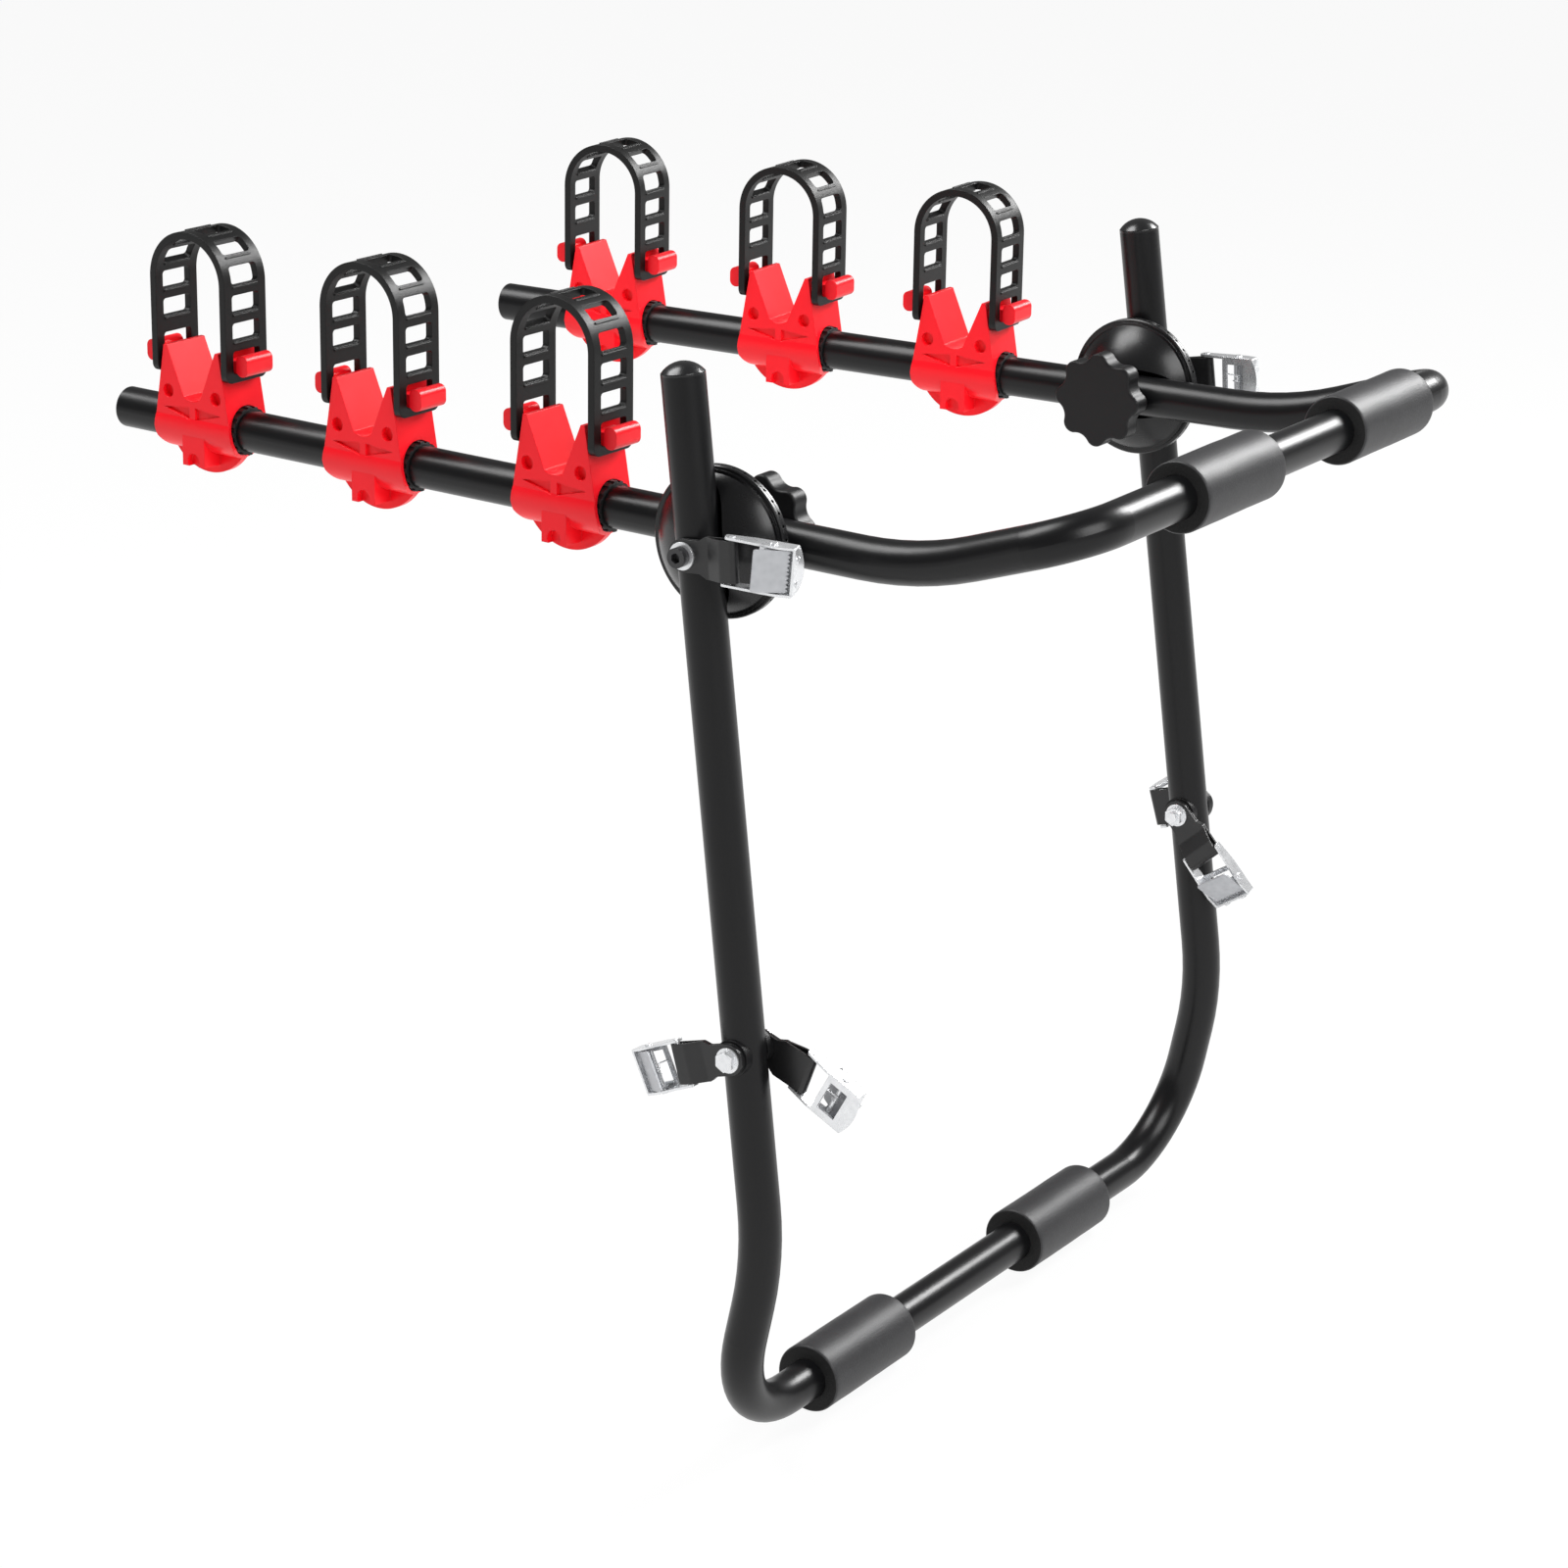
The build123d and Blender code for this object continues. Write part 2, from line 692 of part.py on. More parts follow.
def make_strap():
    """A ladder strap: one arched band with square windows and ribbed rungs."""
    leg = strap_spring_height - strap_bottom
    length = 2 * leg + pi * strap_half_span
    half_width = strap_width / 2
    outer = strap_half_span + strap_thickness / 2
    inner = strap_half_span - strap_thickness / 2
    band = make_face([
        Line((inner, strap_bottom), (outer, strap_bottom)),
        Line((outer, strap_bottom), (outer, strap_spring_height)),
        ThreePointArc((outer, strap_spring_height), (0, strap_spring_height + outer),
                      (-outer, strap_spring_height)),
        Line((-outer, strap_spring_height), (-outer, strap_bottom)),
        Line((-outer, strap_bottom), (-inner, strap_bottom)),
        Line((-inner, strap_bottom), (-inner, strap_spring_height)),
        ThreePointArc((-inner, strap_spring_height), (0, strap_spring_height + inner),
                      (inner, strap_spring_height)),
        Line((inner, strap_spring_height), (inner, strap_bottom))])
    body = across_block(band, -half_width, half_width)
    corners = body.edges().filter_by(Axis.Y).group_by(Axis.Z)[0]
    body = fillet(corners, strap_corner_radius)
    cuts = [strap_window(strap_slot_sill + strap_front_slot_length / 2,
                         strap_front_slot_length),
            strap_window(length - strap_slot_sill - strap_back_slot_length / 2,
                         strap_back_slot_length)]
    ribs = []
    span = length - strap_first_window - strap_last_window
    gaps = round(span / strap_window_pitch)
    for number in range(gaps + 1):
        place = strap_first_window + span * number / gaps
        cuts.append(strap_window(place, strap_window_length))
        rib = Rectangle(strap_rib_width, strap_rib_length)
        lift = strap_thickness / 2
        outside = strap_location(place - strap_rib_offset) * Pos(0, 0, lift) * rib
        inside = strap_location(place + strap_rib_offset) * Pos(0, 0, -lift) * rib
        ribs.append(extrude(outside, amount=strap_rib_height, both=True))
        ribs.append(extrude(inside, amount=strap_rib_height, both=True))
    body -= cuts
    return body + ribs


def bracket_outline():
    """The bracket's flat shape: a round eye, a narrow neck and a wide end."""
    strip = make_face(Polyline(
        (0, -bracket_eye_radius), (bracket_step_start, -bracket_eye_radius),
        (bracket_step_end, -bracket_half_width), (bracket_length, -bracket_half_width),
        (bracket_length, bracket_half_width), (bracket_step_end, bracket_half_width),
        (bracket_step_start, bracket_eye_radius), (0, bracket_eye_radius), close=True))
    ordered = strip.vertices().group_by(Axis.X)
    strip = fillet(ordered[1] + ordered[2], bracket_step_radius)
    return strip + Circle(bracket_eye_radius)


def make_bracket():
    """A strip folded round the buckle's bar, with both ends drilled for the bolt."""
    low = bracket_ply / 2
    high = low + bracket_ply + bar_diameter + 2 * bar_clearance
    eye = low + bracket_ply + bracket_eye_gap
    turn = bracket_length - low
    path = FilletPolyline(
        (-bracket_eye_radius, 0, low), (turn, 0, low), (turn, 0, high),
        (bracket_loop_start, 0, high), (bracket_taper_start, 0, eye),
        (-bracket_eye_radius, 0, eye),
        radius=[(high - low) / 2 - seat_clearance, (high - low) / 2 - seat_clearance,
                bracket_bend_radius, bracket_bend_radius])
    section = Plane(origin=path @ 0, z_dir=path % 0, x_dir=(0, 1, 0)) * Rectangle(
        2 * bracket_half_width, bracket_ply)
    strip = sweep(section, path=path)
    blank = extrude(bracket_outline(), amount=high + bracket_ply)
    hole = rod(Vector(0, 0, -cut_overrun), Vector(0, 0, high + cut_overrun),
               bolt_hole_radius)
    return (strip & blank) - hole


def bar_place():
    """The bar's distance from the bolt and its height above the tube side of the bracket."""
    slack = bracket_half_width * sin(radians(max(abs(item["skew"]) for item in
                                                 buckles.values())))
    along = bracket_length - bracket_ply - bar_diameter / 2 - slack - seat_clearance
    return along, bracket_ply + bar_clearance + bar_diameter / 2


def width_block(face, start, end):
    """A length and height outline made solid between two places across the buckle."""
    return extrude(Plane.XZ.offset(-end) * face, amount=end - start)


def across_curve(place, bulge):
    """A line across the buckle that bulges away from the bar, or is straight."""
    outer = frame_inner_half_width + frame_metal
    if bulge == 0:
        return Line((place, -outer), (place, outer))
    return ThreePointArc((place, -outer), (place + bulge, 0), (place, outer))


def end_wall_section(level, bulge):
    """The end wall cut level: as thick as the metal and bulging by the given amount."""
    inside = across_curve(frame_length - frame_metal, bulge)
    outside = across_curve(frame_length, bulge)
    ends = [Line(inside @ 0, outside @ 0), Line(inside @ 1, outside @ 1)]
    return Pos(0, 0, level) * make_face([inside, outside] + ends)


def make_buckle_frame():
    """The folded frame: two side plates, a base with a window and a bulging end wall."""
    near = -frame_near_length
    belly_start = cam_pin_place - frame_belly_half_length
    belly_end = cam_pin_place + frame_belly_half_length
    outline = make_face(Polyline(
        (near, -frame_near_half_depth), (base_taper_end, -base_depth),
        (frame_length, -base_depth), (frame_length, frame_end_height),
        (belly_end, frame_belly_height), (belly_start, frame_belly_height),
        (near, frame_near_half_depth), close=True))
    outline = fillet(outline.vertices().group_by(Axis.X)[0], frame_corner_radius)
    outer = frame_inner_half_width + frame_metal
    body = (width_block(outline, -outer, -frame_inner_half_width)
            + width_block(outline, frame_inner_half_width, outer))
    base_end = frame_length - frame_metal / 2
    base = make_face([
        Polyline((base_end, -outer), (base_start, -outer), (base_start, outer),
                 (base_end, outer)), across_curve(base_end, frame_end_bulge)])
    middle = (base_window_start + base_window_end) / 2
    base -= Pos(middle, 0) * Rectangle(base_window_end - base_window_start,
                                       2 * base_window_half_width)
    body += extrude(Pos(0, 0, -base_depth) * base, amount=frame_metal)
    body += loft([end_wall_section(-base_depth, frame_end_bulge),
                  end_wall_section(frame_end_height, 0)], ruled=True)
    corners = body.edges().filter_by(Axis.Z).group_by(Axis.X)[-1]
    body = fillet(corners, frame_bend_radius)
    drop = (frame_end_height - dimple_level) / (frame_end_height + base_depth)
    wall = frame_length + frame_end_bulge * drop * (1 - (dimple_place / outer) ** 2)
    for end in (-1, 1):
        start = Vector(wall - frame_metal / 2, end * dimple_place, dimple_level)
        tip = Vector(wall + dimple_height, end * dimple_place, dimple_level)
        body += rod(start, tip, dimple_radius)
    across = Vector(0, 2 * outer, 0)
    pin_centre = Vector(cam_pin_place, 0, 0)
    body -= rod(-across, across, bar_diameter / 2)
    return body - rod(pin_centre - across, pin_centre + across, cam_pin_diameter / 2)


def make_cam_lever():
    """The toothed lever: a plate with two ears on the pin, its thumb end raised."""
    root = lever_tooth_reach - lever_tooth_depth
    pitch = 2 * lever_half_width / lever_tooth_count
    points = [(-lever_thumb_reach, -lever_half_width), (root, -lever_half_width)]
    for number in range(lever_tooth_count):
        start = -lever_half_width + number * pitch
        points += [(lever_tooth_reach, start + pitch / 2), (root, start + pitch)]
    points.append((-lever_thumb_reach, lever_half_width))
    plate = make_face(Polyline(*points, close=True))
    plate = fillet(plate.vertices().group_by(Axis.X)[0], lever_corner_radius)
    top = extrude(Plane.XY.offset(lever_underside) * plate, amount=lever_metal)
    reach, level = lever_ear_half_length, lever_underside + lever_metal / 2
    skirt = make_face(Polyline((-reach, level), (reach, level), (lever_ear_radius, 0),
                               (-lever_ear_radius, 0), close=True))
    ear = skirt + Circle(lever_ear_radius)
    inner = lever_half_width - lever_metal
    body = top + width_block(ear, inner, lever_half_width)
    body += width_block(ear, -lever_half_width, -inner)
    across = Vector(0, 2 * lever_half_width, 0)
    body -= rod(-across, across, cam_pin_diameter / 2 + running_clearance)
    return Pos(cam_pin_place, 0, 0) * Rot(0, lever_rest_angle, 0) * body


def biarc(start, start_tangent, end, end_tangent):
    """Two arcs that join two points and leave them in the given directions."""
    gap = end - start
    both = start_tangent + end_tangent
    turn = 2 * (start_tangent.dot(end_tangent) - 1)
    reach = gap.dot(both)
    step = (reach - sqrt(reach ** 2 - turn * gap.dot(gap))) / turn
    first, second = start + start_tangent * step, end - end_tangent * step
    middle = (first + second) / 2
    return [TangentArc(start, middle, tangent=start_tangent),
            TangentArc(middle, end, tangent=second - first)]


def make_spring():
    """The lever's torsion spring: turns round the pin, one leg on the base, one above."""
    first_angle = radians(spring_base_slope) - pi / 2
    last_angle = pi / 2 - radians(spring_lever_slope)
    turns = spring_whole_turns + (last_angle - first_angle) / (2 * pi)
    half_length = turns * spring_pitch / 2

    def helix(done):
        angle = first_angle + 2 * pi * done
        return Vector(cam_pin_place + spring_radius * cos(angle),
                      -half_length + spring_pitch * done, spring_radius * sin(angle))

    def direction(done):
        angle = first_angle + 2 * pi * done
        return Vector(-spring_radius * sin(angle), spring_pitch / (2 * pi),
                      spring_radius * cos(angle)).normalized()

    start, end = helix(0), helix(turns)
    pieces = [Line(start - direction(0) * spring_base_leg, start)]
    count = ceil(turns * quarter_turns)
    for piece in range(count):
        before, after = turns * piece / count, turns * (piece + 1) / count
        pieces += biarc(helix(before), direction(before), helix(after), direction(after))
    pieces.append(Line(end, end + direction(turns) * spring_lever_leg))
    path = Wire(pieces)
    sample_count = ceil(turns * gap_samples_per_turn)
    samples = [helix(turns * number / sample_count) for number in range(sample_count + 1)]
    least = min((samples[low] - samples[high]).length
                for low in range(len(samples))
                for high in range(low + gap_samples_per_turn // 2, len(samples)))
    print("spring least gap to itself", round(least - spring_wire, 3))
    section = Plane(origin=path @ 0, z_dir=path % 0) * Circle(spring_wire / 2)
    return sweep(section, path=path)


def make_buckle_pins():
    """The bar in the bracket's fold, the lever's riveted pin and its spring."""
    outer = frame_inner_half_width + frame_metal
    bar = rod(Vector(0, -outer - bar_proud, 0), Vector(0, outer + bar_proud, 0),
              bar_diameter / 2)
    centre = Vector(cam_pin_place, 0, 0)
    pin = rod(centre - Vector(0, outer, 0), centre + Vector(0, outer, 0),
              cam_pin_diameter / 2)
    for end in (-1, 1):
        start = centre + Vector(0, end * outer, 0)
        head = rod(start, start + Vector(0, end * cam_pin_head_height, 0),
                   cam_pin_head_diameter / 2)
        rim = head.edges().filter_by(GeomType.CIRCLE).sort_by(Axis.Y)[-1 if end > 0 else 0]
        pin += fillet(rim, cam_pin_head_height / 2)
    return [bar, pin, make_spring()]


def bracket_plane(item):
    """The bracket's frame: X away from the bolt, Z away from the tube."""
    centre = upright_point(item["side"], item["drop"])
    if item["drop"] > 0:
        seat = saddle_face() + bracket_clearance
    else:
        seat = tube_radius + soft_clearance
    origin = centre + Vector(item["face"] * seat, 0, 0)
    aim = radians(item["aim"])
    return Plane(origin=origin, x_dir=(0, cos(aim), sin(aim)), z_dir=(item["face"], 0, 0))


def frame_plane(item):
    """The buckle frame's axes on the bar: skewed in the loop and leaning about the bar."""
    plane = bracket_plane(item)
    along, height = bar_place()
    origin = plane.from_local_coords(Vector(along, 0, height))
    skew, tilt = radians(item["skew"]), radians(item["lean"])
    skewed = plane.x_dir * cos(skew) + plane.y_dir * sin(skew)
    x_dir = skewed * cos(tilt) + plane.z_dir * sin(tilt)
    z_dir = plane.z_dir * cos(tilt) - skewed * sin(tilt)
    return Plane(origin=origin, x_dir=x_dir, z_dir=z_dir)


def save(name, shapes):
    """Write one sub-part, which may be several separate solids."""
    items = shapes if isinstance(shapes, list) else [shapes]
    solids = [solid for item in items for solid in item.solids()]
    whole = solids[0] if len(solids) == 1 else Compound(solids)
    export_step(whole, "parts/" + name + ".step")


def main():
    os.makedirs("parts", exist_ok=True)
    save("lower_frame_tube", make_lower_frame())
    save("arm_frame_tube", make_arm_frame())
    save("upright_caps", make_upright_caps())
    save("arm_end_plugs", make_arm_end_plugs())
    upper, lower = arm_corner(1), upright_corner(1)
    save("foam_pad_upper_right", make_pad(upper, upper_pad_right_place, upper_pad_length,
                                          upper_pad_diameter))
    save("foam_pad_upper_left", make_pad(upper, upper_pad_left_place, upper_pad_length,
                                         upper_pad_diameter))
    save("foam_pad_lower_right", make_pad(lower, lower_pad_right_place, lower_pad_length,
                                          lower_pad_diameter))
    save("foam_pad_lower_left", make_pad(lower, lower_pad_left_place, lower_pad_length,
                                         lower_pad_diameter))
    for name, side in sides.items():
        save("hub_shell_inner_" + name, make_hub_shell(side, -1))
        save("hub_shell_outer_" + name, make_hub_shell(side, 1))
        save("knob_" + name, make_knob(side))
        save("knob_nut_" + name, make_knob_nut(side))
    save("hub_bolts", [make_hub_bolt(side) for side in sides.values()])
    save("hub_washers", [make_hub_washer(side) for side in sides.values()])
    save("lower_bolts", [make_lower_bolt(side) for side in sides.values()])
    save("lower_nuts", [make_lower_nut(side) for side in sides.values()])
    save("saddle_washers", [make_saddle_washer(side, face) for side in sides.values()
                            for face in (-1, 1)])
    cradle, bush, strap = make_cradle(), make_bush(), make_strap()
    bushes = []
    places = {"right": cradle_right_places, "left": cradle_left_places}
    for name, side in sides.items():
        for number, along in enumerate(places[name], start=1):
            plane = arm_plane(side, along)
            bushes.append(plane * bush)
            save(f"cradle_{name}_{number}", plane * cradle)
            save(f"strap_{name}_{number}", plane * strap)
    save("cradle_bushes", bushes)
    bracket, frame, lever = make_bracket(), make_buckle_frame(), make_cam_lever()
    pins = make_buckle_pins()
    for name, item in buckles.items():
        plane = frame_plane(item)
        save("bracket_" + name, bracket_plane(item) * bracket)
        save("buckle_frame_" + name, plane * frame)
        save("cam_lever_" + name, plane * lever)
        save("buckle_pins_" + name, [plane * piece for piece in pins])


main()
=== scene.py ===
from math import cos, pi, radians, sin

import bpy
from mathutils import Matrix, Vector


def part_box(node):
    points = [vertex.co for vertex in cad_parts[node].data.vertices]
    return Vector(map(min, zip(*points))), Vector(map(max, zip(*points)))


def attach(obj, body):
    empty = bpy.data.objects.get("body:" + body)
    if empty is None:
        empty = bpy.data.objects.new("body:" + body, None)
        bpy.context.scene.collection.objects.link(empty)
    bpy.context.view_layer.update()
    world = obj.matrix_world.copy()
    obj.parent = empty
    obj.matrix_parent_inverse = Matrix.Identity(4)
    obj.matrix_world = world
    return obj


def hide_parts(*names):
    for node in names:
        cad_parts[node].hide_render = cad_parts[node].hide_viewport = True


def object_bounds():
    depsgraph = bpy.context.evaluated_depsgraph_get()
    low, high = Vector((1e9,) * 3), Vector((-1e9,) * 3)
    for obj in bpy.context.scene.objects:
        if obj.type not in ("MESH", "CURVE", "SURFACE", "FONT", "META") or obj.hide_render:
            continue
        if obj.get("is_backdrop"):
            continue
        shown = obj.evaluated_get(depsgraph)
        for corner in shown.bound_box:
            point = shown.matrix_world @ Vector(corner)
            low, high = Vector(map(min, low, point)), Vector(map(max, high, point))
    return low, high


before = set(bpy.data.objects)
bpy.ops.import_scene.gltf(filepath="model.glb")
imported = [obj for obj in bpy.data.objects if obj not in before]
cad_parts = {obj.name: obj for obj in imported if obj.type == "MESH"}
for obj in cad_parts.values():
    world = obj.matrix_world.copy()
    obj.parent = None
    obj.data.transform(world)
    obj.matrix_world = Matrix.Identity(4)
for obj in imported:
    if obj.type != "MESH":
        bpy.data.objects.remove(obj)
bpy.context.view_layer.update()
print("stage: frame loaded,", len(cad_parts), "nodes")


# The camera stands where the tubes' outlines in the photograph put it
viewpoint = {
    "place": (2.37509, 1.43665, 0.69957),
    "heading": 0.5811,   # radians from the -X direction, towards -Y
    "down": 0.3238,
    "tilt": 0.0163,
    "focal": 4361.38,    # pixels of the 1600 pixel picture
    "picture": 1600,
    "film": 36.0,
    "nearest": 0.05,
    "furthest": 60,
}


def setCamera(shot):
    level = Vector((-cos(shot["heading"]), -sin(shot["heading"]), 0))
    ahead = level * cos(shot["down"]) - Vector((0, 0, sin(shot["down"])))
    right = ahead.cross(Vector((0, 0, 1))).normalized()
    above = right.cross(ahead)
    turnedRight = right * cos(shot["tilt"]) + above * sin(shot["tilt"])
    turnedAbove = above * cos(shot["tilt"]) - right * sin(shot["tilt"])
    lens = bpy.data.cameras.new("camera")
    lens.sensor_fit = "HORIZONTAL"
    lens.sensor_width = shot["film"]
    lens.lens = shot["focal"] * shot["film"] / shot["picture"]
    lens.clip_start, lens.clip_end = shot["nearest"], shot["furthest"]
    camera = bpy.data.objects.new("camera", lens)
    bpy.context.scene.collection.objects.link(camera)
    turn = Matrix((turnedRight, turnedAbove, -ahead)).transposed()
    camera.matrix_world = Matrix.Translation(shot["place"]) @ turn.to_4x4()
    bpy.context.scene.camera = camera


setCamera(viewpoint)
print("stage: camera set")


class Value:  # one socket, so that shader maths reads as sums
    def __init__(self, surface, socket):
        self.surface, self.socket = surface, socket

    def work(self, operation, first, second):
        return self.surface.node("ShaderNodeMath", {"operation": operation}, {0: first, 1: second})

    def __add__(self, other):
        return self.work("ADD", self, other)

    def __radd__(self, other):
        return self.work("ADD", other, self)

    def __mul__(self, other):
        return self.work("MULTIPLY", self, other)

    def __rmul__(self, other):
        return self.work("MULTIPLY", other, self)


# Places of the sockets that a Mix node has for colours
mixSockets = {"factor": 0, "first": 6, "second": 7, "result": 2}


class Surface:  # a material and its nodes
    def __init__(self, name):
        self.material = bpy.data.materials.new(name)
        self.material.use_nodes = True
        self.tree = self.material.node_tree
        self.tree.nodes.clear()

    def node(self, kind, settings=None, sockets=None, output=0):
        made = self.tree.nodes.new(kind)
        for key, value in (settings or {}).items():
            if key == "stops":
                for stop, (at, shade) in zip(made.color_ramp.elements, value):
                    stop.position, stop.color = at, (shade, shade, shade, 1)
            else:
                setattr(made, key, value)
        for key, value in (sockets or {}).items():
            if isinstance(value, Value):
                self.tree.links.new(value.socket, made.inputs[key])
            else:
                made.inputs[key].default_value = value
        return None if output is None else Value(self, made.outputs[output])

    def place(self, stretch=(1, 1, 1)):
        spot = self.node("ShaderNodeTexCoord", output="Object")
        return self.node("ShaderNodeMapping", None, {"Vector": spot, "Scale": stretch})

    def noise(self, scale, detail, rough, stretch=(1, 1, 1)):
        return self.node("ShaderNodeTexNoise", None, {
            "Vector": self.place(stretch), "Scale": scale, "Detail": detail, "Roughness": rough})

    def cells(self, scale, feature):
        return self.node("ShaderNodeTexVoronoi", {"feature": feature}, {
            "Vector": self.place(), "Scale": scale})

    def ramp(self, value, stops):
        return self.node("ShaderNodeValToRGB", {"stops": stops}, {"Fac": value})

    def tint(self, amount, first, second):
        return self.node("ShaderNodeMix", {"data_type": "RGBA"}, {
            mixSockets["factor"]: amount, mixSockets["first"]: (*first, 1),
            mixSockets["second"]: (*second, 1)}, output=mixSockets["result"])

    def bump(self, height, depth, rounding=0.0):
        # Grain, over edges that catch the light as if they were rounded
        sockets = {"Height": height, "Distance": depth}
        if rounding > 0:
            sockets["Normal"] = self.node("ShaderNodeBevel", {"samples": 4}, {"Radius": rounding})
        return self.node("ShaderNodeBump", None, sockets)

    def close(self, **sockets):
        names = {"baseColor": "Base Color", "roughness": "Roughness", "metallic": "Metallic",
                 "coat": "Coat Weight", "coatRoughness": "Coat Roughness", "normal": "Normal",
                 "specular": "Specular IOR Level"}
        return self.show(self.node("ShaderNodeBsdfPrincipled", None,
                                   {names[key]: value for key, value in sockets.items()}))

    def show(self, shader):
        self.node("ShaderNodeOutputMaterial", None, {"Surface": shader}, output=None)
        return self.material


# Blacks: darkest and lightest colour, roughness from and to, the shine, and the size of the
# grain per metre with its depth. Rounding is the radius that the edges seem to have
finishes = {
    "frameBlack": {"dark": (0.003, 0.003, 0.0035), "light": (0.006, 0.006, 0.0065), "rough": (0.26, 0.36),
                   "specular": 0.32, "grain": 900, "grainDepth": 0.00004, "coat": 0.0, "rounding": 0.0},
    "hubBlack": {"dark": (0.005, 0.005, 0.0055), "light": (0.010, 0.010, 0.0105), "rough": (0.22, 0.32),
                 "specular": 0.35, "grain": 1100, "grainDepth": 0.00004, "coat": 0.1, "rounding": 0.0005},
    "capBlack": {"dark": (0.006, 0.006, 0.0065), "light": (0.012, 0.012, 0.0125), "rough": (0.20, 0.32),
                 "specular": 0.5, "grain": 1500, "grainDepth": 0.00003, "coat": 0.1, "rounding": 0.0006},
    "knobBlack": {"dark": (0.004, 0.004, 0.0045), "light": (0.008, 0.008, 0.0085), "rough": (0.34, 0.48),
                  "specular": 0.3, "grain": 2200, "grainDepth": 0.00008, "coat": 0.0, "rounding": 0.0009},
    "bushBlack": {"dark": (0.007, 0.007, 0.0075), "light": (0.013, 0.013, 0.0135), "rough": (0.42, 0.55),
                  "specular": 0.5, "grain": 2200, "grainDepth": 0.00008, "coat": 0.0, "rounding": 0.0004},
    "bracketBlack": {"dark": (0.006, 0.006, 0.0065), "light": (0.014, 0.014, 0.0145), "rough": (0.26, 0.40),
                     "specular": 0.5, "grain": 1300, "grainDepth": 0.00006, "coat": 0.1, "rounding": 0.0005},
    "strapRubber": {"dark": (0.003, 0.003, 0.003), "light": (0.006, 0.006, 0.006), "rough": (0.34, 0.46),
                    "specular": 0.3, "grain": 1800, "grainDepth": 0.00008, "coat": 0.0, "rounding": 0.0009},
    "socketBlack": {"dark": (0.012, 0.012, 0.013), "light": (0.024, 0.024, 0.026), "rough": (0.24, 0.38),
                    "specular": 0.5, "grain": 2600, "grainDepth": 0.00004, "coat": 0.2, "rounding": 0.0004},
}

# What all the blacks share. The scuffs run along the piece and dull it
paint = {
    "cloud": {"scale": 14, "detail": 4, "rough": 0.6},
    "grain": {"detail": 2, "rough": 0.5},
    "scuff": {"scale": 60, "detail": 6, "rough": 0.7, "stretch": (1, 0.12, 1)},
    "scuffStops": ((0.60, 0.0), (0.74, 1.0)),
    "scuffDulling": 0.05,
    "grainShare": 0.5,
    "cloudShare": 0.5,
    "coatRough": 0.25,
}


def paintFinish(name, look):
    surface = Surface(name)
    cloud = surface.noise(**paint["cloud"])
    fine = surface.noise(look["grain"], **paint["grain"])
    scuff = surface.ramp(surface.noise(**paint["scuff"]), paint["scuffStops"])
    low, high = look["rough"]
    roughness = cloud * (high - low) + low + scuff * paint["scuffDulling"]
    shade = fine * paint["grainShare"] + cloud * paint["cloudShare"]
    return surface.close(baseColor=surface.tint(shade, look["dark"], look["light"]), roughness=roughness,
                         coat=look["coat"], coatRoughness=paint["coatRough"], specular=look["specular"],
                         normal=surface.bump(fine, look["grainDepth"], look["rounding"]))


cradlePlastic = {
    "dark": (0.92, 0.004, 0.012),
    "light": (1.0, 0.008, 0.020),
    "cloud": {"scale": 22, "detail": 4, "rough": 0.6},
    "grain": {"scale": 1500, "detail": 2, "rough": 0.5},
    "flow": {"scale": 90, "detail": 3, "rough": 0.6, "stretch": (1, 1, 0.25)},
    "cloudShare": 0.6,
    "flowShare": 0.4,
    "rough": 0.28,
    "cloudRough": 0.10,
    "specular": 0.3,
    "grainDepth": 0.00004,
    "rounding": 0.0007,
}


def plasticFinish(name, look):
    surface = Surface(name)
    cloud = surface.noise(**look["cloud"])
    grain = surface.noise(**look["grain"])
    flow = surface.noise(**look["flow"])
    shade = cloud * look["cloudShare"] + flow * look["flowShare"]
    return surface.close(baseColor=surface.tint(shade, look["dark"], look["light"]),
                         roughness=cloud * look["cloudRough"] + look["rough"], specular=look["specular"],
                         normal=surface.bump(grain, look["grainDepth"], look["rounding"]))


platings = {
    "zinc": {"dark": (0.74, 0.75, 0.77), "light": (0.93, 0.94, 0.95), "rough": 0.18, "metal": 0.75},
    "leverZinc": {"dark": (0.42, 0.43, 0.45), "light": (0.56, 0.57, 0.59), "rough": 0.34, "metal": 0.6},
}

# What both platings share: the bloom of the zinc, clouds, and the lines that rolling leaves
sheetMetal = {
    "bloom": 260,
    "cloud": {"scale": 120, "detail": 5, "rough": 0.65},
    "rolled": {"scale": 500, "detail": 3, "rough": 0.6, "stretch": (1, 1, 0.05)},
    "bloomShare": 0.7,
    "cloudShare": 0.4,
    "cloudRough": 0.14,
    "rolledRough": 0.06,
    "rolledDepth": 0.6,
    "cloudDepth": 0.4,
    "grainDepth": 0.00004,
    "rounding": 0.0004,
}


def platingFinish(name, look):
    surface = Surface(name)
    bloom = surface.cells(sheetMetal["bloom"], "SMOOTH_F1")
    cloud = surface.noise(**sheetMetal["cloud"])
    rolled = surface.noise(**sheetMetal["rolled"])
    shade = bloom * sheetMetal["bloomShare"] + cloud * sheetMetal["cloudShare"]
    dull = cloud * sheetMetal["cloudRough"] + rolled * sheetMetal["rolledRough"] + look["rough"]
    height = rolled * sheetMetal["rolledDepth"] + cloud * sheetMetal["cloudDepth"]
    return surface.close(baseColor=surface.tint(shade, look["dark"], look["light"]), metallic=look["metal"],
                         roughness=dull,
                         normal=surface.bump(height, sheetMetal["grainDepth"], sheetMetal["rounding"]))


